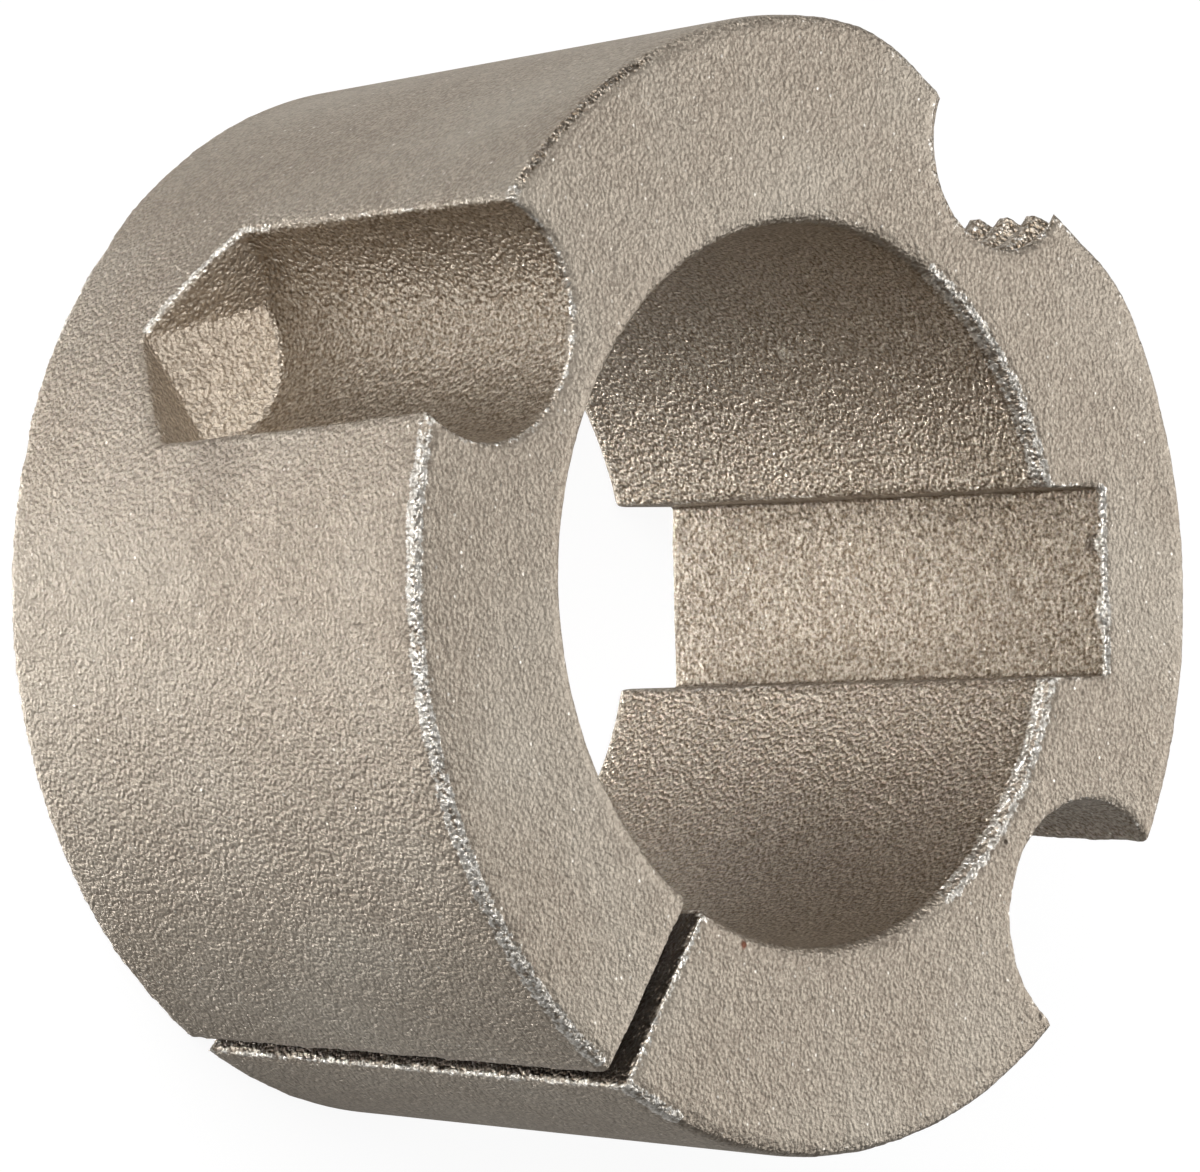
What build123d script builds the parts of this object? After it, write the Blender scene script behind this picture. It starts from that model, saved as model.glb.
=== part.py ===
from build123d import *
import math
import os

# Taper bush: a split ring of sintered iron that locks a pulley or sprocket on a shaft.
# The ring stands on its small end. Z runs along the bush axis with z = 0 at the small end,
# the large face is on top, and the keyway is cut on the +X side of the bore.
# All sizes are millimetres and all angles are degrees, measured from +X towards +Y.

# Tapered body
length = 25.4
large_diameter = 47.625
taper_half_angle = 4.0
large_edge_break = 0.3
small_edge_break = 0.2

# Bore and keyway for a 30 mm shaft with an 8 mm key
bore_diameter = 30.0
bore_chamfer = 0.4
keyway_width = 8.0
keyway_depth = 3.3

# Slit that lets the ring close on the shaft; it runs beside the axis, not through it
slit_angle = -124.9
slit_width = 1.05
slit_offset = 1.17

# Two plain half-holes that take the ends of the locking screws.
# Each ends in a square pyramid, as the punch that forms it does.
screw_angles = (150.4, -40.4)
screw_circle_radius = 22.1
screw_hole_radius = 5.0
screw_rim_rounding = 0.4
pyramid_point_height = 5.7
pyramid_slope = 0.625

# One threaded half-hole for the screw that jacks the bush out of its hub,
# 3/8 inch with 16 threads to the inch, in a flat cut across the taper.
jack_angle = 55.2
jack_circle_radius = 22.225
jack_minor_radius = 4.1
jack_major_radius = 4.76
jack_pitch = 25.4 / 16
jack_thread_start = 9.1
jack_root_width = jack_pitch / 8
thread_flank_angle = 30.0
jack_rim_rounding = 0.3
jack_flat_distance = 22.08
jack_flat_corner_radius = 9.0

large_radius = large_diameter / 2
small_radius = large_radius - length * math.tan(math.radians(taper_half_angle))
bore_radius = bore_diameter / 2

# Cutting tools run past the faces that they cut by this much
overshoot = 2.0
thread_overlap = 0.2
touching = 0.01


def tapered_ring():
    """The turned form: cone outside, straight bore inside, chamfers at the bore's mouths and the small end."""
    break_out = small_edge_break * math.tan(math.radians(taper_half_angle))
    profile = Polyline(
        (bore_radius + bore_chamfer, 0),
        (small_radius - small_edge_break, 0),
        (small_radius + break_out, small_edge_break),
        (large_radius, length),
        (bore_radius + bore_chamfer, length),
        (bore_radius, length - bore_chamfer),
        (bore_radius, bore_chamfer),
        close=True,
    )
    return revolve(Plane.XZ * make_face(profile), Axis.Z)


def flatted_prism():
    """What the ring is kept inside: a round prism with the jack flat and a broken top edge."""
    side = 2 * large_radius
    waste = Pos(jack_flat_distance, 0) * Rectangle(side, side, align=(Align.MIN, Align.CENTER))
    outline = Circle(large_radius) - waste
    outline = fillet(outline.vertices(), jack_flat_corner_radius)
    break_height = length - large_edge_break
    prism = extrude(outline, break_height)
    prism += extrude(Pos(0, 0, break_height) * outline, large_edge_break, taper=45)
    return Rot(0, 0, jack_angle) * prism


def radial_slot(reach, width):
    """A parallel-sided slot from the axis outwards along +X, open at both ends."""
    slot = Box(reach, width, length + 2 * overshoot, align=(Align.MIN, Align.CENTER, Align.MIN))
    return Pos(0, 0, -overshoot) * slot


def keyway():
    """The slot in the bore that the shaft's key fills."""
    return radial_slot(bore_radius + keyway_depth, keyway_width)


def slit():
    """The gap right through one side of the ring, over its full length."""
    gap = radial_slot(large_radius + overshoot, slit_width)
    return Rot(0, 0, slit_angle) * Pos(0, slit_offset, 0) * gap


def blind_hole(radius):
    """A round hole down from the large face, ending in an upside-down square pyramid."""
    rise = length + overshoot - pyramid_point_height
    spread = rise / pyramid_slope
    triangle = make_face(Polyline((0, 0), (spread, rise), (-spread, rise), close=True))
    across_x = extrude(Plane.XZ * triangle, spread, both=True)
    across_y = extrude(Plane.YZ * triangle, spread, both=True)
    shank = Cylinder(radius, rise, align=(Align.CENTER, Align.CENTER, Align.MIN))
    return Pos(0, 0, pyramid_point_height) * (shank & across_x & across_y)


def jack_thread():
    """The thread's helical groove: four ruled faces between helices, closed by two ends.

    The groove starts and stops at angle 0 of its own frame, which is the open side of the half-hole.
    """
    inner_radius = jack_minor_radius - thread_overlap
    flank_rise = (jack_major_radius - inner_radius) * math.tan(math.radians(thread_flank_angle))
    root_half = jack_root_width / 2
    mouth_half = root_half + flank_rise
    turns = math.ceil((length - jack_thread_start) / jack_pitch)

    def helix(radius, offset):
        curve = Edge.make_helix(jack_pitch, turns * jack_pitch, radius)
        return Pos(0, 0, jack_thread_start + offset) * curve

    corners = [
        helix(inner_radius, -mouth_half),
        helix(jack_major_radius, -root_half),
        helix(jack_major_radius, root_half),
        helix(inner_radius, mouth_half),
    ]
    next_corners = corners[1:] + corners[:1]
    faces = [Face.make_surface_from_curves(first, second) for first, second in zip(corners, next_corners)]
    for end in (0, 1):
        faces.append(Face(Wire.make_polygon([corner.position_at(end) for corner in corners])))
    return Solid(Shell(faces))


def at_circle(tool, angle, circle_radius):
    """Push a hole tool out to its bolt circle and turn it to its angle."""
    return Rot(0, 0, angle) * Pos(circle_radius, 0, 0) * tool


def rim_edges(body, angle, circle_radius, hole_radius):
    """The two long edges where a half-hole's wall comes out through the side of the ring."""
    axis = Vector(circle_radius, 0, 0).rotate(Axis.Z, angle)

    def on_wall(edge):
        places = [edge.position_at(share) for share in (0, 0.5, 1)]
        distances = [math.hypot(place.X - axis.X, place.Y - axis.Y) for place in places]
        rises = abs(places[2].Z - places[0].Z) > hole_radius
        return rises and all(abs(distance - hole_radius) < touching for distance in distances)

    return body.edges().filter_by(on_wall)


def build_bush():
    bush = (tapered_ring() & flatted_prism()) - keyway() - slit()
    half_holes = [(angle, screw_circle_radius, screw_hole_radius, screw_rim_rounding) for angle in screw_angles]
    half_holes.append((jack_angle, jack_circle_radius, jack_minor_radius, jack_rim_rounding))
    for angle, circle_radius, hole_radius, rounding in half_holes:
        bush -= at_circle(blind_hole(hole_radius), angle, circle_radius)
        bush = fillet(rim_edges(bush, angle, circle_radius, hole_radius), rounding)
    return bush - at_circle(jack_thread(), jack_angle, jack_circle_radius)


os.makedirs("parts", exist_ok=True)
export_step(build_bush(), "parts/taper_bush.step")
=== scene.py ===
# %% [markdown]
# # A taper bush in sintered iron
# A taper bush is a split ring, cone-shaped outside and straight inside, that wedges a pulley onto a shaft.
# Its plain solid comes from the CAD model, which this script loads as a fixed frame. The lesson builds the
# same form again with Blender's own tools, worn and grainy as it comes out of use, and gives it the skin
# of real sintered iron. Loading comes first, because every size below is set against that frame.

# %% Load the frame
import math

import bmesh
import bpy
from mathutils import Matrix, Quaternion, Vector


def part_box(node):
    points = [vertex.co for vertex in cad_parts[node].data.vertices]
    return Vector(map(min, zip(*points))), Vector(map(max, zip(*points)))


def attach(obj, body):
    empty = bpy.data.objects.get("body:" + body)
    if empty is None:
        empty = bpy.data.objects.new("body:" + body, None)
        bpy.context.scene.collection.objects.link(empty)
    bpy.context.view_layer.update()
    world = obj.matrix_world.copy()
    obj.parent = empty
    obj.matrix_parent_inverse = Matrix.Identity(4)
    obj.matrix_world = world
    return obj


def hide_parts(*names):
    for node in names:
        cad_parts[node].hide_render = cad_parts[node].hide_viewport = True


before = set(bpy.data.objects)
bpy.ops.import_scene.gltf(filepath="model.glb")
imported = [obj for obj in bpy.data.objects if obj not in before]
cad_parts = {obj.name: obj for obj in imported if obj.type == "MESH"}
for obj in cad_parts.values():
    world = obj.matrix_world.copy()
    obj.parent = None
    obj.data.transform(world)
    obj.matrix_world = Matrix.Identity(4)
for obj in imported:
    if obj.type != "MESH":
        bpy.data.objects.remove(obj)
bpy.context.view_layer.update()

MM = 0.001

# %% [markdown]
# ## Sizes
# The bush is described by a few driving dimensions in millimetres, the same ones a drawing would give.
# Its length comes from the frame, and the new mesh stands where the solid does: on its small end, with
# z = 0 there. Angles are in degrees around the axis, seen from the large end, and 0 is the middle of the
# keyway, on the +X side of the bore.

# %% Driving dimensions
LENGTH = (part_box("taper_bush")[1].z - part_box("taper_bush")[0].z) / MM
LARGE_RADIUS, TAPER = 23.8125, 4.0
SMALL_RADIUS = LARGE_RADIUS - LENGTH * math.tan(math.radians(TAPER))
EDGE_BREAK = 0.3
BORE_RADIUS, BORE_CHAMFER = 15.0, 0.4
KEY_HALF_WIDTH, KEY_DEPTH = 4.0, 3.3
KEY_BOTTOM = BORE_RADIUS + KEY_DEPTH
SLIT_ANGLE, SLIT_OFFSET, SLIT_WIDTH = -124.9, 1.17, 1.05
SCREW_ANGLES, SCREW_CIRCLE, SCREW_RADIUS = (150.4, -40.4), 22.1, 5.0
JACK_ANGLE, JACK_CIRCLE, JACK_RADIUS = 55.2, 22.225, 4.1
FLAT_DISTANCE, FLAT_CORNER = 22.08, 9.0
POINT_HEIGHT, POINT_SLOPE = 5.7, 0.625
THREAD_RADIUS, THREAD_PITCH, THREAD_START = 4.76, 25.4 / 16, 9.1
OVERSHOOT, TOUCH = 2.0, 0.01
TOP = LENGTH + OVERSHOOT
print(f"length {LENGTH:.2f} mm, small radius {SMALL_RADIUS:.3f} mm")

# %% [markdown]
# ## Working as by hand
# Most tools in Blender act on whatever is selected. These small helpers keep that tidy: one object is
# selected at a time, a modifier is added and applied in one step, and faces or edges are picked by a test
# on their place, which does what a click does by hand.


# %% Helpers for modelling
def select_only(piece):
    bpy.ops.object.select_all(action="DESELECT")
    piece.select_set(True)
    bpy.context.view_layer.objects.active = piece


def apply_modifier(piece, kind, **settings):
    select_only(piece)
    modifier = piece.modifiers.new(kind.lower(), kind)
    for name, value in settings.items():
        setattr(modifier, name, value)
    bpy.ops.object.modifier_apply(modifier=modifier.name)


def boolean(piece, tool, operation="DIFFERENCE"):
    """Cuts, joins or trims the piece with the tool, which is used up."""
    apply_modifier(piece, "BOOLEAN", operation=operation, object=tool, solver="EXACT")
    bpy.data.objects.remove(tool)


def everywhere(place):
    return True


def edit(piece, element, test, action, **settings):
    """Selects the faces or edges whose points all pass the test, then runs an edit-mode tool on them."""
    select_only(piece)
    bpy.context.tool_settings.mesh_select_mode = (False, element == "EDGE", element == "FACE")
    mesh = bmesh.new()
    mesh.from_mesh(piece.data)
    for item in list(mesh.verts) + list(mesh.edges) + list(mesh.faces):
        item.select_set(False)
    for item in mesh.edges if element == "EDGE" else mesh.faces:
        if all(test(corner.co / MM) for corner in item.verts):
            item.select_set(True)
    mesh.to_mesh(piece.data)
    mesh.free()
    bpy.ops.object.mode_set(mode="EDIT")
    action(**settings)
    bpy.ops.object.mode_set(mode="OBJECT")


def placed():
    """The primitive that was just added, with its place in its mesh."""
    piece = bpy.context.object
    select_only(piece)
    bpy.ops.object.transform_apply()
    return piece


# %% [markdown]
# ## Tools to cut with
# Holes are made as in a workshop, with a tool of the hole's shape. Two plain ones do most of the work: a
# round bar and a flat bar that reaches out from the axis. Each is made where its sizes are easy to give, and
# then moved out and turned about the bush's axis to its place.


# %% Cutting tools
def cylinder(radius, bottom, top, sides=128, x=0.0, y=0.0):
    place = (x * MM, y * MM, (bottom + top) / 2 * MM)
    bpy.ops.mesh.primitive_cylinder_add(
        vertices=sides, radius=radius * MM, depth=(top - bottom) * MM, location=place)
    return placed()


def flat_bar(reach, half_width, offset=0.0):
    """A bar from the axis outwards along +X, longer than the bush at both ends."""
    size = (reach * MM, 2 * half_width * MM, (TOP + OVERSHOOT) * MM)
    centre = (reach / 2 * MM, offset * MM, LENGTH / 2 * MM)
    bpy.ops.mesh.primitive_cube_add(size=1, location=centre, scale=size)
    return placed()


def turned(tool, angle, distance=0.0):
    """Moves a tool out from the axis and turns it about the axis to its place on the ring."""
    select_only(tool)
    tool.location.x = distance * MM
    bpy.ops.object.transform_apply(location=True)
    tool.rotation_euler.z = math.radians(angle)
    bpy.ops.object.transform_apply(rotation=True)
    return tool


print(f"tools reach {OVERSHOOT} mm past both ends")

# %% [markdown]
# ## The pressed blank
# The real blank is pressed from iron powder in a die as a cone frustum. A cone primitive with its tip cut
# off is that shape already. One side carries a flat with soft corners, for the jacking screw. Three
# overlapping cylinders wrapped in one convex hull give a prism with exactly that outline, and the blank
# keeps only what lies inside the prism. Bevelling the prism's top rim first breaks the blank's sharp edge.

# %% Blank with the jack flat and the broken rim
SIDES = 360

bpy.ops.mesh.primitive_cone_add(
    vertices=SIDES, radius1=SMALL_RADIUS * MM, radius2=LARGE_RADIUS * MM,
    depth=LENGTH * MM, location=(0, 0, LENGTH / 2 * MM))
bush = placed()
bush.name = "pressed_bush"

corner_centre = LARGE_RADIUS - FLAT_CORNER
corner_angle = math.acos((FLAT_DISTANCE - FLAT_CORNER) / corner_centre)
prism = cylinder(LARGE_RADIUS, -OVERSHOOT, LENGTH, SIDES)
edit(prism, "FACE", everywhere, bpy.ops.mesh.bisect, clear_outer=True, plane_no=(1, 0, 0),
     plane_co=(LARGE_RADIUS * math.cos(corner_angle) * MM, 0, 0))
for side in (1, -1):
    corner = cylinder(FLAT_CORNER, -OVERSHOOT, LENGTH, SIDES, corner_centre * math.cos(corner_angle),
                      side * corner_centre * math.sin(corner_angle))
    corner.select_set(True)
    prism.select_set(True)
    bpy.context.view_layer.objects.active = prism
    bpy.ops.object.join()
edit(prism, "FACE", everywhere, bpy.ops.mesh.convex_hull)
edit(prism, "FACE", everywhere, bpy.ops.mesh.dissolve_limited, angle_limit=math.radians(0.05))
edit(prism, "EDGE", lambda p: p.z > LENGTH - TOUCH, bpy.ops.mesh.bevel, offset=EDGE_BREAK * MM)
boolean(bush, turned(prism, JACK_ANGLE), "INTERSECT")
print("blank:", len(bush.data.polygons), "faces")

# %% [markdown]
# ## Bore, keyway and slit
# The bore is a straight hole with a small chamfer at each mouth. Its cutter is a cylinder whose end faces
# are extruded and widened, so one cut makes hole and chamfers together. The keyway is cut by a flat bar that
# reaches from the axis to its bottom. The slit is a thinner and longer bar, a little to one side of the
# axis, that goes right through the wall, so that the ring can close.

# %% Cut the bore, the keyway and the slit
bore = cylinder(BORE_RADIUS, BORE_CHAMFER, LENGTH - BORE_CHAMFER, SIDES)
flare = (BORE_RADIUS + OVERSHOOT) / BORE_RADIUS
for end, direction in ((LENGTH - BORE_CHAMFER, 1), (BORE_CHAMFER, -1)):
    edit(bore, "FACE", lambda p, end=end: abs(p.z - end) < TOUCH, bpy.ops.mesh.extrude_region_move,
         TRANSFORM_OT_translate={"value": (0, 0, direction * OVERSHOOT * MM)})
    edit(bore, "FACE", lambda p, end=end, direction=direction: (p.z - end) * direction > 1,
         bpy.ops.transform.resize, value=(flare, flare, 1), center_override=(0, 0, 0))
boolean(bush, bore)
boolean(bush, flat_bar(KEY_BOTTOM, KEY_HALF_WIDTH))
boolean(bush, turned(flat_bar(LARGE_RADIUS + OVERSHOOT, SLIT_WIDTH / 2, SLIT_OFFSET), SLIT_ANGLE))
print("ring:", len(bush.data.polygons), "faces")

# %% [markdown]
# ## Half-holes
# Each screw seat is a blind round hole on the edge of the ring. The punch that forms it ends in a shallow
# square point, so the tool here is what a cylinder and a four-sided cone have in common. One function
# makes it for all three holes.


# %% Cut the three half-holes
def punch(radius):
    rise = TOP - POINT_HEIGHT
    corner_reach = rise / POINT_SLOPE * math.sqrt(2)
    bpy.ops.mesh.primitive_cone_add(
        vertices=4, radius1=0, radius2=corner_reach * MM, depth=rise * MM,
        location=(0, 0, (POINT_HEIGHT + rise / 2) * MM), rotation=(0, 0, math.radians(45)))
    point = placed()
    shank = cylinder(radius, POINT_HEIGHT, TOP)
    boolean(shank, point, "INTERSECT")
    return shank


for angle in SCREW_ANGLES:
    boolean(bush, turned(punch(SCREW_RADIUS), angle, SCREW_CIRCLE))
boolean(bush, turned(punch(JACK_RADIUS), JACK_ANGLE, JACK_CIRCLE))
print("ring with half-holes:", len(bush.data.polygons), "faces")

# %% [markdown]
# ## The jacking thread
# A thread groove is one small trapezoid carried round the hole's axis while it climbs. The Screw modifier
# does that to the trapezoid's four edges. Its two open ends are then filled, which makes a closed coil
# that the boolean can cut with. The trapezoid starts a little inside the hole's wall, so the cut is clean.

# %% Cut the thread
FLANK_ANGLE, OVERLAP = 30.0, 0.2

root_half = THREAD_PITCH / 16
inner = JACK_RADIUS - OVERLAP
mouth_half = root_half + (THREAD_RADIUS - inner) * math.tan(math.radians(FLANK_ANGLE))
bpy.ops.mesh.primitive_plane_add(size=1)
coil = placed()
section = ((inner, -mouth_half), (THREAD_RADIUS, -root_half), (THREAD_RADIUS, root_half), (inner, mouth_half))
for index, (reach, height) in zip(coil.data.polygons[0].vertices, section):
    coil.data.vertices[index].co = Vector((reach, 0, THREAD_START + height)) * MM
edit(coil, "FACE", everywhere, bpy.ops.mesh.delete, type="ONLY_FACE")
turns = math.ceil((LENGTH - THREAD_START) / THREAD_PITCH)
apply_modifier(coil, "SCREW", angle=math.tau, screw_offset=THREAD_PITCH * MM, iterations=turns,
               steps=48, render_steps=48)
edit(coil, "EDGE", everywhere, bpy.ops.mesh.fill_holes, sides=4)
edit(coil, "FACE", everywhere, bpy.ops.mesh.normals_make_consistent)
boolean(bush, turned(coil, JACK_ANGLE, JACK_CIRCLE))
print("thread turns:", turns, "faces now:", len(bush.data.polygons))

# %% [markdown]
# ## Knocks and burrs
# A bush that has been dropped loses crumbs from its rim, and the press leaves a burr or two. Each chip is
# cut out with a small icosphere that is stretched along the rim, and each burr is a flat one that is
# joined on. Icospheres suit this because their few flat faces look like broken grains.

# %% Chip the rim and add the burrs
# Chips as (angle, size), from one end of the knocked stretch to the other, and burrs as (y, half width).
CHIPS = ((112.6, 0.30), (114.3, 0.46), (116.4, 0.22), (118.2, 0.30), (121.6, 0.36), (123.8, 0.22),
         (125.8, 0.28), (129.4, 0.40), (131.0, 0.24), (132.8, 0.32), (135.4, 0.36))
BURRS = ((-1.3, 0.55), (1.7, 0.2))
BURR_DROP, BURR_HALF_HEIGHT = 0.2, 0.17


def crumb(x, y, z, size):
    bpy.ops.mesh.primitive_ico_sphere_add(
        subdivisions=2, radius=MM, location=(x * MM, y * MM, z * MM), scale=size)
    return placed()


for angle, size in CHIPS:
    boolean(bush, turned(crumb(LARGE_RADIUS, 0, LENGTH, (size, size * 1.7, size * 0.8)), angle))
for y, size in BURRS:
    burr = crumb(KEY_BOTTOM, y, LENGTH - BURR_DROP, (size * 0.6, size, BURR_HALF_HEIGHT))
    boolean(bush, burr, "UNION")
print("chips:", len(CHIPS), "burrs:", len(BURRS), "faces now:", len(bush.data.polygons))

# %% [markdown]
# ## Which edges wear
# Handling rounds and brightens the edges that stick out, and leaves the inside corners alone. An outward
# edge is one whose two faces turn away from each other, which BMesh gives as a positive angle. Those edges
# are kept alone in a helper object, so that distance to them can be measured later.


# %% Collect the outward edges
def outward_edges(name, keep, sharp=math.radians(25)):
    """A helper object that holds only the sharp outward edges whose middle passes the test."""
    mesh = bmesh.new()
    mesh.from_mesh(bush.data)
    waste = []
    for edge in mesh.edges:
        middle = (edge.verts[0].co + edge.verts[1].co) / 2 / MM
        if edge.calc_face_angle_signed(0) < sharp or not keep(middle):
            waste.append(edge)
    bmesh.ops.delete(mesh, geom=waste, context="EDGES_FACES")
    for face in list(mesh.faces):
        mesh.faces.remove(face)
    data = bpy.data.meshes.new(name)
    mesh.to_mesh(data)
    mesh.free()
    helper = bpy.data.objects.new(name, data)
    bpy.context.scene.collection.objects.link(helper)
    return helper


all_edges = outward_edges("all_outward_edges", everywhere)
print("outward edges:", len(all_edges.data.edges))

# %% [markdown]
# ## Edges that are worn round
# A few edges are blunter than the rest: the long ones where a screw seat comes out through the cone, and
# one corner of the slit. They are told apart by their place, as seen from the axis of the hole or slit
# that they belong to.

# %% Collect the blunt edges
BLUNT_CORNER_SIZE = 1.0


def seen_from(place, angle, circle=0.0):
    """A point's x and y from a hole's axis, or from the bush's own, with x outwards at this angle."""
    return Matrix.Rotation(math.radians(-angle), 2) @ place.xy - Vector((circle, 0))


slit_wall = SLIT_OFFSET - SLIT_WIDTH / 2
slit_corner = Vector((math.sqrt(LARGE_RADIUS ** 2 - slit_wall ** 2), slit_wall, LENGTH))
slit_corner.rotate(Matrix.Rotation(math.radians(SLIT_ANGLE), 3, "Z"))


def is_blunt(place):
    on_cone = place.xy.length > BORE_RADIUS + 4 and place.z < LENGTH - 0.5
    on_seat = any(abs(seen_from(place, angle, SCREW_CIRCLE).length - SCREW_RADIUS) < 0.05
                  for angle in SCREW_ANGLES)
    on_corner = (place - slit_corner).length < BLUNT_CORNER_SIZE
    return (on_cone and on_seat) or on_corner


blunt_edges = outward_edges("blunt_edges", is_blunt)
print("blunt edges:", len(blunt_edges.data.edges))

# %% [markdown]
# ## An even skin
# The cuts leave long thin faces that can't be worn or dented. A voxel remesh wraps the form in small even
# squares, about an eighth of a millimetre wide, and rounds each edge by about as much, as tumbling does.
# Smoothing then rounds the blunt edges further. It works through a vertex group, whose weights fall off
# with the distance to those edges.

# %% Remesh and soften
VOXEL = 0.12
WEAR_REACH, BLUNT_REACH = 0.45, 0.9


def weigh(group_name, helper, reach):
    """Vertex weights that are 1 on the helper's edges and fall to 0 at the reach, in millimetres."""
    group = bush.vertex_groups.get(group_name) or bush.vertex_groups.new(name=group_name)
    group.add(range(len(bush.data.vertices)), 1.0, "REPLACE")
    apply_modifier(bush, "VERTEX_WEIGHT_PROXIMITY", vertex_group=group_name, target=helper,
                   proximity_mode="GEOMETRY", proximity_geometry={"EDGE"}, min_dist=reach * MM, max_dist=0.0)


apply_modifier(bush, "REMESH", mode="VOXEL", voxel_size=VOXEL * MM)
weigh("blunt", blunt_edges, BLUNT_REACH)
weigh("worn_and_highlit", all_edges, WEAR_REACH)
apply_modifier(bush, "SMOOTH", factor=0.5, iterations=2)
apply_modifier(bush, "SMOOTH", factor=0.5, iterations=30, vertex_group="blunt")
print("remeshed:", len(bush.data.polygons), "squares")

# %% [markdown]
# ## Crumbly edges
# Sintered iron is pressed grains, so its edges crumble grain by grain instead of rounding off evenly. Two
# Displace modifiers push the worn edges in and out with cloud noise, once at the size of a chip and once
# at the size of a few grains. The middle level is set high, so far more is pushed in than out.


# %% Crumble the edges
def crumble(size, depth):
    noise = bpy.data.textures.new("crumble", "CLOUDS")
    noise.noise_scale = size * MM
    noise.noise_depth = 1
    apply_modifier(bush, "DISPLACE", texture=noise, texture_coords="LOCAL", strength=depth * MM,
                   mid_level=0.85, vertex_group="worn_and_highlit")


crumble(1.4, 0.10)
crumble(0.35, 0.08)
print("crumbled size in mm:", [round(side / MM, 2) for side in bush.dimensions])

# %% [markdown]
# ## Fewer triangles
# That many squares is far more than flat faces need. Decimate merges what is flat first, and keeps its
# triangles for the crumbled edges, where leaving one out would show. A last resize by a ten-thousandth
# keeps every point inside the measured size.

# %% Thin out the flat faces
TRIANGLE_LIMIT = 190_000
SHRINK = 0.9999

squares = len(bush.data.polygons)
apply_modifier(bush, "DECIMATE", ratio=TRIANGLE_LIMIT / (2 * squares))
select_only(bush)
bpy.ops.transform.resize(value=(SHRINK, SHRINK, SHRINK), center_override=(0, 0, LENGTH / 2 * MM))
bpy.ops.object.transform_apply()
print("thinned from", squares, "squares to", len(bush.data.polygons), "faces")

# %% [markdown]
# ## Recesses and painted shade
# The walls of the bore, the keyway and the holes get a darker, browner coat, which is partly the coat's own
# colour and partly painted shade. The slit and the chipped rim get painted shade. The material has to know
# where that is, and a shader can't see what a wall belongs to. So each point gets one number, by its place:
# nothing outside, a little in the holes, more where the rim is chipped, and most in the slit.

# %% Measure the recesses and the painted shade
BORE_WALL, CHIPPED_RIM, SLIT_WALL = 1.0, 1.5, 2.0
SLACK = 0.03


def polar(place):
    """A point's distance from the axis, and its angle in degrees."""
    return place.xy.length, math.degrees(math.atan2(place.y, place.x))


def in_hole(place, angle, circle, radius):
    """Whether a point lies on the round wall of a half-hole, above its four-sided point."""
    local = seen_from(place, angle, circle)
    floor_height = POINT_HEIGHT + POINT_SLOPE * max(abs(local.x), abs(local.y))
    return local.length < radius + SLACK and place.z > floor_height + 0.05


# Painted shade by place: the chipped rim and the slit are painted dark, and the walls of the bore, keyway and
# holes get a darker coat that is partly painted shade.
def shade_by_place(place):
    radius, angle = polar(place)
    across = seen_from(place, SLIT_ANGLE)
    chipped = CHIPS[0][0] < angle < CHIPS[-1][0] and radius > LARGE_RADIUS - 0.4
    if chipped and 0.05 < LENGTH - place.z < 0.3:
        return CHIPPED_RIM
    if place.z > LENGTH - 0.1:
        return 0.0
    if across.x > 0 and abs(across.y - SLIT_OFFSET) < SLIT_WIDTH / 2 + SLACK:
        return SLIT_WALL
    in_bore = radius < BORE_RADIUS + 0.05
    in_keyway = place.x > 0 and abs(place.y) < KEY_HALF_WIDTH + SLACK and radius < KEY_BOTTOM + 1
    in_seat = any(in_hole(place, angle, SCREW_CIRCLE, SCREW_RADIUS) for angle in SCREW_ANGLES)
    in_jack_hole = in_hole(place, JACK_ANGLE, JACK_CIRCLE, THREAD_RADIUS)
    return BORE_WALL if in_bore or in_keyway or in_seat or in_jack_hole else 0.0


shaded = [shade_by_place(corner.co / MM) for corner in bush.data.vertices]
print("sheltered points:", sum(amount > 0 for amount in shaded), "of", len(shaded))

# %% [markdown]
# ## How bare and how bright each edge is
# Not every outward edge is rubbed alike. The keyway's end, the bore's mouth beside it, one side of the rim
# and the lower wall of one screw seat are made bright, partly as real wear and partly as painted highlight:
# they face the camera's side, where the light catches them, and the dull stretch of the rim is turned away.
# The small end, which the bush stands on, has kept more of its coat. One number for each place says how much
# of the wear there is bare metal and painted highlight. Above 1, the bright band spreads out from the edge.

# %% Measure the bareness and the painted highlight
NEAR = 0.8
BRIGHT_BORE_HALF = 60
DULL_RIM = (-112, 158)
FACET_TOP = 10.5


def bareness_and_highlight(place):
    radius, angle = polar(place)
    across = seen_from(place, SLIT_ANGLE)
    seat = seen_from(place, SCREW_ANGLES[0], SCREW_CIRCLE)
    on_face = place.z > LENGTH - NEAR
    if across.x > 0 and abs(across.y - SLIT_OFFSET) < 1.0:
        return 1.2 if across.y > SLIT_OFFSET else 0.4
    if on_face and abs(place.x - KEY_BOTTOM) < NEAR and abs(place.y) < KEY_HALF_WIDTH:
        return 1.8
    if on_face and abs(radius - BORE_RADIUS) < NEAR:
        return 1.3 if abs(angle) < BRIGHT_BORE_HALF else 0.45
    if on_face and abs(seat.length - SCREW_RADIUS) < NEAR:
        return 1.0
    # The lower wall of this seat faces the light and is made bright, partly as painted highlight.
    if seat.length < SCREW_RADIUS + NEAR:
        if seat.y > 0:
            return 0.3
        return 1.7 if place.z < FACET_TOP else 0.9
    # Painted highlight: the rim is bright on the camera's side and dull where it turns away from the light.
    if on_face and radius > LARGE_RADIUS - NEAR:
        return 0.45 if DULL_RIM[0] <= angle < DULL_RIM[1] else 1.35
    return 0.5 if place.z < 1.0 else 0.8


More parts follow.
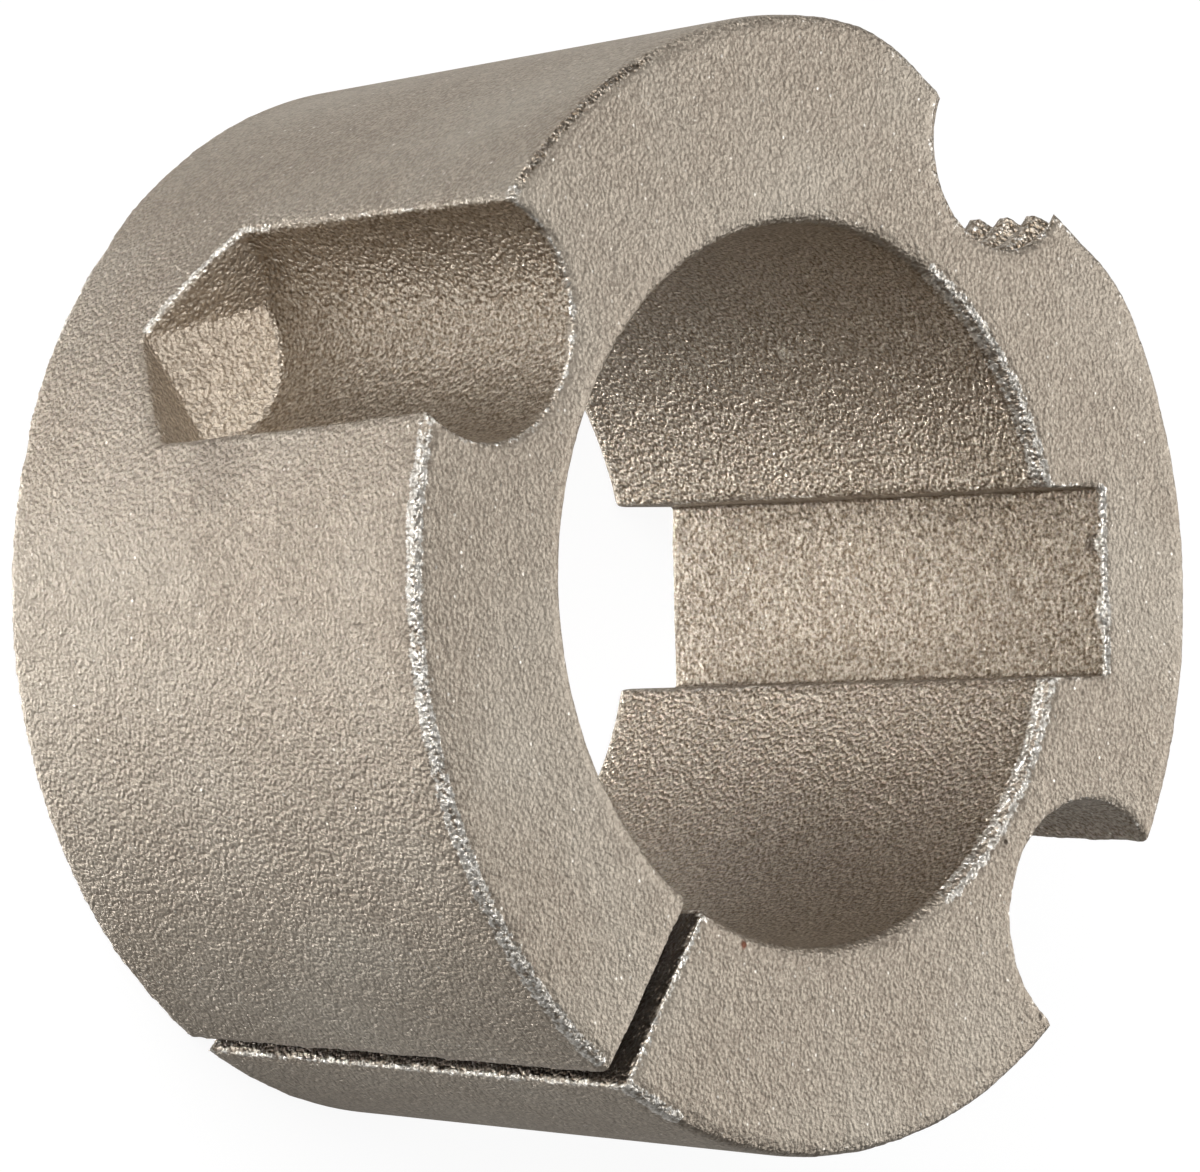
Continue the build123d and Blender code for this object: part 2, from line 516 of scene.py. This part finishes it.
weigh("worn_and_highlit", all_edges, WEAR_REACH)
group = bush.vertex_groups["worn_and_highlit"].index
corners = bush.data.vertices
weights = [sum(item.weight for item in corner.groups if item.group == group) for corner in corners]
bared_and_highlit = [weight * bareness_and_highlight(corner.co / MM) for weight, corner in zip(weights, corners)]
print("worn points:", sum(amount > 0 for amount in bared_and_highlit), "of", len(bared_and_highlit))

# %% [markdown]
# ## From numbers to the mesh
# A shader can't read vertex groups or lists, but it can read an attribute of the mesh by its name, so both
# sets of numbers are stored as attributes. The finished mesh is then shaded smooth, with weighted normals,
# so that the large flat faces stay flat up to their rounded edges. It rides on the frame's only body and
# stands in for the plain solid.

# %% Store both and finish the mesh
for name, values in (("edge_wear_and_highlight", bared_and_highlit), ("recess", shaded)):
    field = bush.data.attributes.new(name, "FLOAT", "POINT")
    field.data.foreach_set("value", values)
for helper in (all_edges, blunt_edges):
    bpy.data.objects.remove(helper)
select_only(bush)
bpy.ops.object.shade_smooth()
apply_modifier(bush, "WEIGHTED_NORMAL", keep_sharp=False)
bush.vertex_groups.clear()
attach(bush, "root")
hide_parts("taper_bush")
print("finished mesh:", len(bush.data.vertices), "vertices")

# %% [markdown]
# ## Sintered iron
# The bush is iron powder, pressed and fused, with a thin grey-brown phosphate coat against rust. The eye
# reads a matt, woolly skin made of grains about a sixth of a millimetre wide. It is still metal, so it
# mirrors its surroundings very softly. The colours are written as on a screen, and one function turns
# them into the linear values that a shader needs. One other function adds any node and wires it up.


# %% Helpers for materials
def linear(hex_colour):
    """An sRGB hex colour as the linear values that a shader takes."""
    channels = [int(hex_colour[i:i + 2], 16) / 255 for i in (1, 3, 5)]
    return [c / 12.92 if c <= 0.04045 else ((c + 0.055) / 1.055) ** 2.4 for c in channels] + [1.0]


def add_node(kind, sockets=None, output=0, **settings):
    """Adds a shader node to the tree in hand and returns one of its outputs. The sockets map an input's
    name or number to a value or to another node's output."""
    made = tree.nodes.new(kind)
    for name, value in settings.items():
        setattr(made, name, value)
    for socket, value in (sockets or {}).items():
        if isinstance(value, bpy.types.NodeSocket):
            tree.links.new(value, made.inputs[socket])
        else:
            made.inputs[socket].default_value = value
    return made.outputs[output] if made.outputs else made


print("linear mid grey:", round(linear("#808080")[0], 3))

# %% [markdown]
# ## Sockets by number
# A Mix node has one set of sockets for each kind of data, all with the same names. A name finds the first
# set, which is for plain numbers, so the ones for colours have to be given by number. Map Range goes by
# number too, which keeps its lines short: a value, the range that it has coming in and the range that it
# is given going out. A range that isn't set is 0 to 1. Multiply Add gives input 0 times input 1, plus
# input 2.

# %% Node kinds and their sockets
MAP, MATH, MIX = "ShaderNodeMapRange", "ShaderNodeMath", "ShaderNodeMix"
VALUE, FROM_LOW, FROM_HIGH, TO_LOW, TO_HIGH = range(5)
AMOUNT, UNDER, OVER, BLEND = 0, 6, 7, 2
COLOURS = {"output": BLEND, "data_type": "RGBA"}

iron = bpy.data.materials.new("sintered_iron_phosphated")
iron.use_nodes = True
tree = iron.node_tree
shader = tree.nodes["Principled BSDF"]
place = add_node("ShaderNodeTexCoord", output="Object")
edge_fade_and_highlight = add_node("ShaderNodeAttribute", output="Fac", attribute_name="edge_wear_and_highlight")
recess = add_node("ShaderNodeAttribute", output="Fac", attribute_name="recess")
print("material", iron.name, "starts with", len(tree.nodes), "nodes")

# %% [markdown]
# ## Grain, mottling and coat
# Three noises in object space share the work. The finest is the powder grain. The middle one is a
# mottling of half a millimetre, and the widest one is the uneven coat, in patches of nine. The crests of
# the grains are rubbed lighter than the hollows. On the walls of the bore, keyway and holes the hollows are
# darker and browner, which is partly the coat's own colour and partly painted shade. In the slit and on the
# chipped rim, a painted shade of dark brown covers much of the coat.

# %% Phosphated sintered iron
GRAIN, MOTTLE, COAT_PATCH = 0.16, 0.55, 9.0

grain, mottle, patches = [
    add_node("ShaderNodeTexNoise", {"Vector": place, "Scale": 1 / (size * MM), "Detail": 3.0})
    for size in (GRAIN, MOTTLE, COAT_PATCH)]
crest = add_node(MAP, {VALUE: grain, FROM_LOW: 0.36, FROM_HIGH: 0.64})
grime = add_node(MAP, {VALUE: mottle, FROM_LOW: 0.3, FROM_HIGH: 0.7, TO_LOW: 0.3, TO_HIGH: 0.0})
pale = add_node(MAP, {VALUE: patches, FROM_LOW: 0.45, FROM_HIGH: 0.7, TO_LOW: 0.0, TO_HIGH: 0.3})
# Painted shade: a dark brown laid over much of the coat in the slit and on the chipped rim.
painted_shade = add_node(MAP, {VALUE: recess, FROM_LOW: BORE_WALL, FROM_HIGH: SLIT_WALL, TO_LOW: 0.0, TO_HIGH: 0.85})
open_coat = add_node(MIX, {AMOUNT: crest, UNDER: linear("#9d9183"), OVER: linear("#c8bcac")}, **COLOURS)
# The darker, browner coat on the walls of the bore, keyway and holes is partly the coat's own colour and
# partly painted shade.
dark_coat_and_shade = add_node(MIX, {AMOUNT: crest, UNDER: linear("#877764"), OVER: linear("#ccc1b2")}, **COLOURS)
coat = open_coat
for amount, over in ((grime, linear("#85796b")), (pale, linear("#cdc6b9")),
                     (recess, dark_coat_and_shade), (painted_shade, linear("#3f342a"))):
    coat = add_node(MIX, {AMOUNT: amount, UNDER: coat, OVER: over}, **COLOURS)
print("noise sizes in mm:", GRAIN, MOTTLE, COAT_PATCH)

# %% [markdown]
# ## Marks of handling
# A few small marks make this bush one of its own: a spot of rust by the slit, two dark pits in the face,
# grime at the keyway's end and below a screw seat, a bright nick in the bore, and the bright burr, whose near
# white is partly bare metal and partly painted highlight. Each is a ball around a point of the surface.
# Adding the mottling to the distance makes its rim ragged.

# %% Stains
# Each as its centre and radius in millimetres, its colour, and how much of the coat it covers.
MARKS = (
    ((-4.87, -14.78, 25.4), 0.24, "#7a4630", 0.9),
    ((11.50, -10.96, 25.4), 0.20, "#43392f", 0.9),
    ((13.45, -18.43, 25.4), 0.20, "#43392f", 0.9),
    ((18.30, 1.60, 24.80), 0.55, "#4f4238", 0.7),
    ((-22.30, 5.40, 12.60), 2.60, "#6f655b", 0.25),
    ((10.95, 10.25, 13.90), 0.40, "#e8dfd0", 0.8),
    # The bright burr: partly bare metal, partly painted highlight.
    ((18.30, -1.30, 25.30), 0.60, "#fffaf2", 1.0),
)
RAGGED = 0.3

rag = add_node(MAP, {VALUE: mottle, FROM_LOW: 0.3, FROM_HIGH: 0.7, TO_LOW: -RAGGED, TO_HIGH: RAGGED})
for centre, radius, hex_colour, strength in MARKS:
    away = add_node("ShaderNodeVectorMath", {0: place, 1: Vector(centre) * MM}, "Value", operation="DISTANCE")
    reach = add_node(MATH, {0: away, 1: 1 / (radius * MM), 2: rag}, operation="MULTIPLY_ADD")
    amount = add_node(MAP, {VALUE: reach, FROM_LOW: 0.4, FROM_HIGH: 1.0, TO_LOW: strength, TO_HIGH: 0.0},
                      interpolation_type="SMOOTHSTEP")
    coat = add_node(MIX, {AMOUNT: amount, UNDER: coat, OVER: linear(hex_colour)}, **COLOURS)
print("stains:", len(MARKS))

# %% [markdown]
# ## Bare iron
# Where an edge has been knocked the coat is gone and the iron shines. The band is near white, and it also
# carries the painted highlight on the edges that face the light, so it is partly real wear and partly painted
# highlight. The wear attribute fades away from each edge, and the two finer noises are added before it is cut
# off sharply, so the bright band ends grain by grain. Single bare grains elsewhere come from a cell pattern,
# which keeps the middle of a few cells.

# %% Worn edges, painted highlight and bare grains
SPECK_CELL = 0.3

cells = add_node("ShaderNodeTexVoronoi", {"Vector": place, "Scale": 1 / (SPECK_CELL * MM)}, "Color")
chosen = add_node(MAP, {VALUE: cells, FROM_LOW: 0.80, FROM_HIGH: 0.84, TO_LOW: 0.0, TO_HIGH: 0.8})
middle = add_node(MAP, {VALUE: cells.node.outputs["Distance"], FROM_LOW: 0.28, FROM_HIGH: 0.16})
speck = add_node(MATH, {0: chosen, 1: middle}, operation="MULTIPLY")
ragged = add_node(MATH, {0: mottle, 1: 1.4, 2: edge_fade_and_highlight}, operation="MULTIPLY_ADD")
ragged = add_node(MATH, {0: grain, 1: 1.1, 2: ragged}, operation="MULTIPLY_ADD")
worn_and_highlit = add_node(MAP, {VALUE: ragged, FROM_LOW: 1.88, FROM_HIGH: 2.12})
bare_metal_and_highlight = add_node(MATH, {0: worn_and_highlit, 1: speck}, operation="MAXIMUM")
# The bare colour runs up to near white, partly as painted highlight.
shine = add_node(MIX, {AMOUNT: crest, UNDER: linear("#b3aa9c"), OVER: linear("#fffaf2")}, **COLOURS)
colour = add_node(MIX, {AMOUNT: bare_metal_and_highlight, UNDER: coat, OVER: shine}, **COLOURS)
metal = add_node(MAP, {VALUE: bare_metal_and_highlight, TO_LOW: 0.92, TO_HIGH: 0.8})
coat_rough = add_node(MAP, {VALUE: recess, TO_LOW: 0.50, TO_HIGH: 0.34})
rough = add_node(MIX, {"Factor": bare_metal_and_highlight, "A": coat_rough, "B": 0.32})
for socket, output in (("Base Color", colour), ("Metallic", metal), ("Roughness", rough)):
    tree.links.new(output, shader.inputs[socket])
print("speck cell in mm:", SPECK_CELL)

# %% [markdown]
# ## Relief of the grain
# A bump gives each grain a light and a dark side. Voronoi cells a fifth of a millimetre wide stand for
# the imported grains, with a narrow valley around each, and the two finer noises make them uneven. The flat
# face was pressed hard against the die, so its relief is less than half as high as elsewhere.

# %% Relief
PACKING = 0.21
BUMP_DEPTH = 0.12

z = add_node("ShaderNodeSeparateXYZ", {0: place}, "Z")
relief = add_node(MAP, {VALUE: z, FROM_LOW: (LENGTH - 0.15) * MM, FROM_HIGH: (LENGTH - 0.05) * MM,
                        TO_LOW: 0.85, TO_HIGH: 0.36})
hollow = add_node("ShaderNodeTexVoronoi", {"Vector": place, "Scale": 1 / (PACKING * MM)}, "Distance")
height = add_node(MATH, {0: mottle, 1: 1.2, 2: grain}, operation="MULTIPLY_ADD")
height = add_node(MATH, {0: hollow, 1: -0.75, 2: height}, operation="MULTIPLY_ADD")
height = add_node(MATH, {0: height, 1: relief}, operation="MULTIPLY")
bump = add_node("ShaderNodeBump", {"Height": height, "Strength": 1.0, "Distance": BUMP_DEPTH * MM})
tree.links.new(bump, shader.inputs["Normal"])
bush.data.materials.clear()
bush.data.materials.append(iron)
print("material nodes:", len(tree.nodes))

# %% [markdown]
# ## Floor
# The floor is plain matt white paper. A camera ray sees it close to pure white, which keeps the
# background clean without more light on the object, and a little of its shading is mixed in, so the
# bush keeps a faint shadow. Rays that bounce off the metal see the same paper much dimmer, because a full
# white reflection would wash out the metal's dark side. All other light falls on plain matt paper.

# %% Floor
bpy.ops.mesh.primitive_plane_add(size=4)
floor = bpy.context.object
floor.name = "floor"
floor.visible_shadow = False
paper = bpy.data.materials.new("white_paper")
paper.use_nodes = True
tree = paper.node_tree
tree.nodes.clear()


def paper_look(glow, grey):
    """Paper that glows by itself and adds a little of the shading of real paper."""
    shine_through = add_node("ShaderNodeEmission", {"Strength": glow})
    shading = add_node("ShaderNodeBsdfDiffuse", {"Color": (grey, grey, grey, 1)})
    return add_node("ShaderNodeAddShader", {0: shine_through, 1: shading})


camera_ray, glossy_ray, clear_ray = [
    add_node("ShaderNodeLightPath", output=f"Is {ray} Ray") for ray in ("Camera", "Glossy", "Transmission")]
mirrored = add_node(MATH, {0: glossy_ray, 1: clear_ray}, operation="MAXIMUM")
matt = add_node("ShaderNodeBsdfDiffuse", {"Color": linear("#e6e6e6")})
surface = add_node("ShaderNodeMixShader", {0: mirrored, 1: matt, 2: paper_look(0.2, 0.2)})
surface = add_node("ShaderNodeMixShader", {0: camera_ray, 1: surface, 2: paper_look(0.93, 0.1)})
add_node("ShaderNodeOutputMaterial", {"Surface": surface})
floor.data.materials.append(paper)
print("floor material nodes:", len(tree.nodes))

# %% [markdown]
# ## Light
# A dull metal needs wide, soft lamps, or its form falls apart in spots. Two lamps stand above, one for
# the large face and the stronger one for the side of the cone. Three more shine from below the floor, as
# on a light table, and the floor lets their light pass. They brighten the underside of the cone and reach
# into the bore from its far end. Lamps below are left out of multiple importance sampling, because rays
# that bounce off the metal towards them meet the floor first.

# %% Light
world = bpy.context.scene.world or bpy.data.worlds.new("studio")
bpy.context.scene.world = world
world.use_nodes = True
tree = world.node_tree
tree.nodes.clear()
add_node("ShaderNodeOutputWorld", {"Surface": add_node("ShaderNodeBackground", {"Strength": 0.05})})


def softbox(name, azimuth, elevation, watts, width=0.4, distance=0.6):
    """A square lamp facing the bush. Azimuth 0 is the keyway's side, and a negative elevation is below."""
    turn, rise = math.radians(azimuth), math.radians(elevation)
    aim = Vector((math.cos(turn) * math.cos(rise), math.sin(turn) * math.cos(rise), math.sin(rise)))
    bpy.ops.object.light_add(type="AREA")
    lamp = bpy.context.object
    lamp.name = name
    lamp.data.shape = "SQUARE"
    lamp.data.size = width
    lamp.data.energy = watts
    lamp.location = aim * distance
    lamp.rotation_euler = aim.to_track_quat("Z", "Y").to_euler()
    lamp.data.cycles.use_multiple_importance_sampling = elevation > 0


softbox("face_softbox", 0, 28, 1.4)
softbox("key_softbox", 144, 50, 4.0)
softbox("low_back_softbox", 72, -15, 0.5)
softbox("low_front_softbox", 180, -40, 1.4)
softbox("table_softbox", 0, -90, 2.0)

# %% [markdown]
# ## Camera
# A long lens from nearly half a metre flattens the perspective, which suits a small, round part. The
# camera is placed by its two angles and its distance from a point inside the bush. It is rolled by almost
# a quarter turn, so that the bush's axis runs across the view and the large face and the bore both show.

# %% Camera
CAMERA_AZIMUTH, CAMERA_ELEVATION, CAMERA_ROLL = -178.919, 43.580, 87.811
CAMERA_DISTANCE, CAMERA_LENS, SENSOR_WIDTH = 476.24, 337.44, 36.0
CAMERA_TARGET = Vector((0.164, 0.296, 12.878)) * MM

back = Vector((1, 0, 0))
back.rotate(Quaternion((0, 1, 0), -math.radians(CAMERA_ELEVATION)))
back.rotate(Quaternion((0, 0, 1), math.radians(CAMERA_AZIMUTH)))
bpy.ops.object.camera_add()
camera = bpy.context.object
camera.data.sensor_width = SENSOR_WIDTH
camera.data.lens = CAMERA_LENS
camera.data.clip_start, camera.data.clip_end = 0.01, 10
camera.location = CAMERA_TARGET + back * CAMERA_DISTANCE * MM
camera.rotation_mode = "QUATERNION"
camera.rotation_quaternion = back.to_track_quat("Z", "Y") @ Quaternion((0, 0, 1), math.radians(CAMERA_ROLL))
bpy.context.scene.camera = camera
print("camera at mm:", [round(value / MM, 1) for value in camera.location])

# %% [markdown]
# ## View transform
# The Standard view shows the colours as they were written.

# %% View transform
bpy.context.scene.view_settings.view_transform = "Standard"
